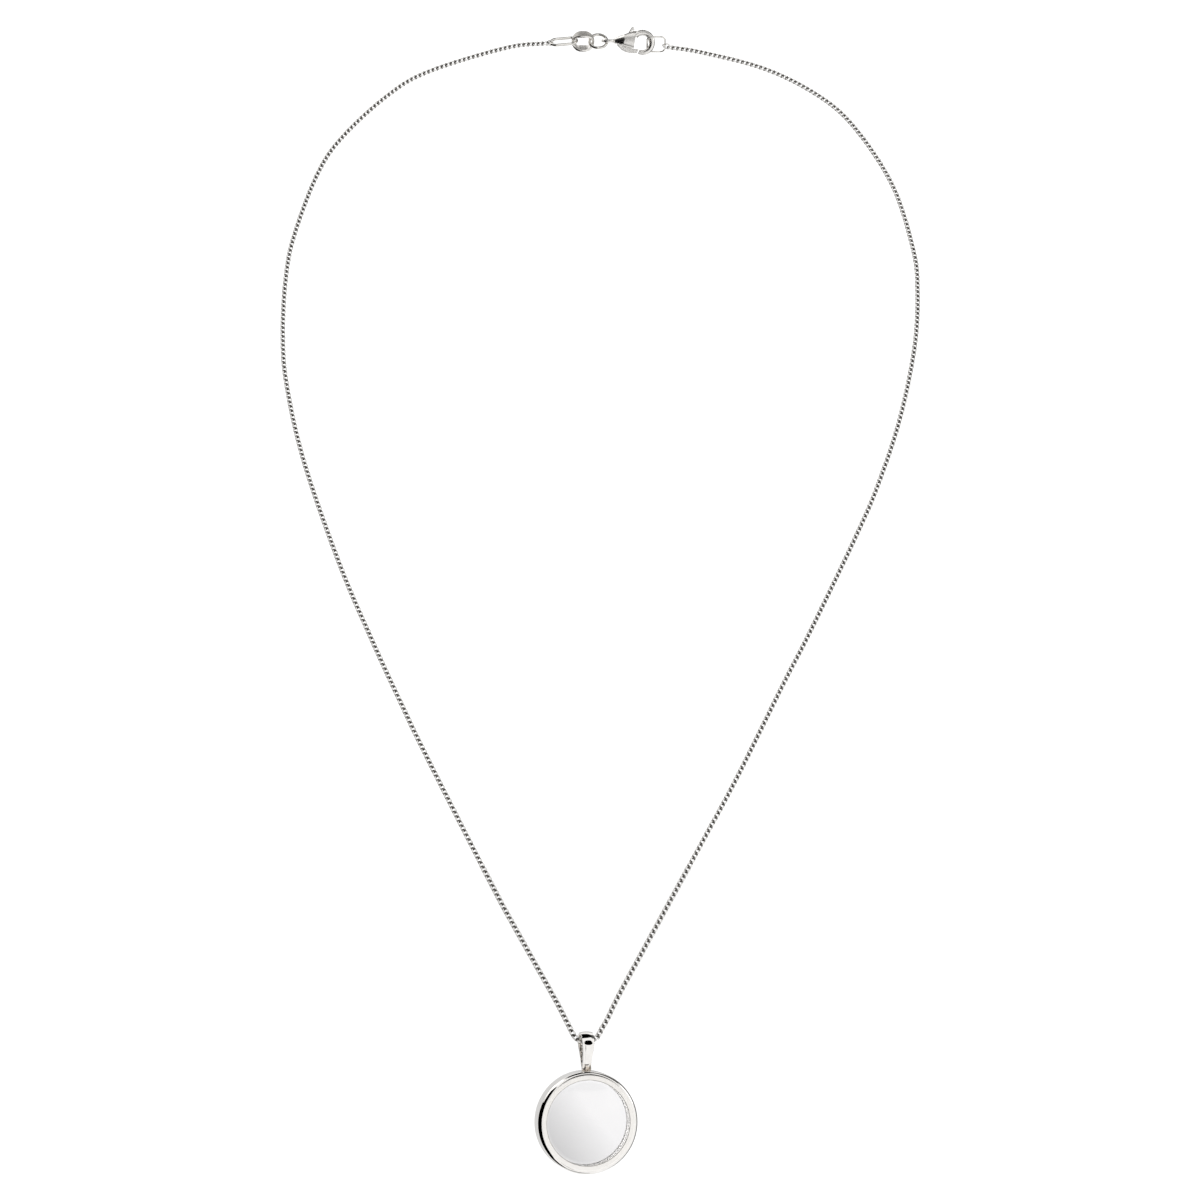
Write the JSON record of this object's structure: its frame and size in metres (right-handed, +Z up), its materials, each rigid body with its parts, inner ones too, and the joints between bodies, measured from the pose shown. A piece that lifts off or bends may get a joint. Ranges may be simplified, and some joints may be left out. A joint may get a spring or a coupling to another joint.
{
  "type": "crystal pendant on a curb chain necklace",
  "caption": "Round clear-window pendant in a satin-faced bezel, hung by a drop-shaped bail on a fine curb chain that closes with a spring lever clasp.",
  "frame": {"origin": "on the nape of the neck, at the middle of the clasp section, where the worn chain rests", "axes": "+Z up, -Y towards the viewer who faces the wearer, +X to that viewer's right"},
  "size_m": [0.1075, 0.0664, 0.191],
  "materials": {
    "chain_metal": "polished white metal wire",
    "clasp_metal": "polished white metal",
    "bezel_metal": "polished rim and bail, satin front and back faces",
    "crystal": "clear polished"
  },
  "bodies": {
    "necklace": {"chain": "chain_metal", "left_end_ring": "clasp_metal", "strap_link": "clasp_metal", "jump_ring": "clasp_metal", "clasp_body": "clasp_metal", "right_end_ring": "clasp_metal"},
    "pendant": {"bezel_and_bail": "bezel_metal", "front_crystal": "crystal", "back_crystal": "crystal"},
    "lever": {"clasp_lever": "clasp_metal"}
  },
  "joints": [
    {"name": "pendant_swing", "type": "hinge", "parent": "necklace", "child": "pendant", "pos_m": [-0.0021, -0.06132, -0.16849], "axis": [0.9781, 0.2079, 0], "range_deg": [-80, 80]},
    {"name": "lever_press", "type": "hinge", "parent": "necklace", "child": "lever", "pos_m": [0.00343, 0.00016, -0.0002], "axis": [0, -0.9659, -0.2588], "range_deg": [0, 15], "stiffness_Nm_per_rad": 0.0005, "springref_deg": -11.46}
  ]
}
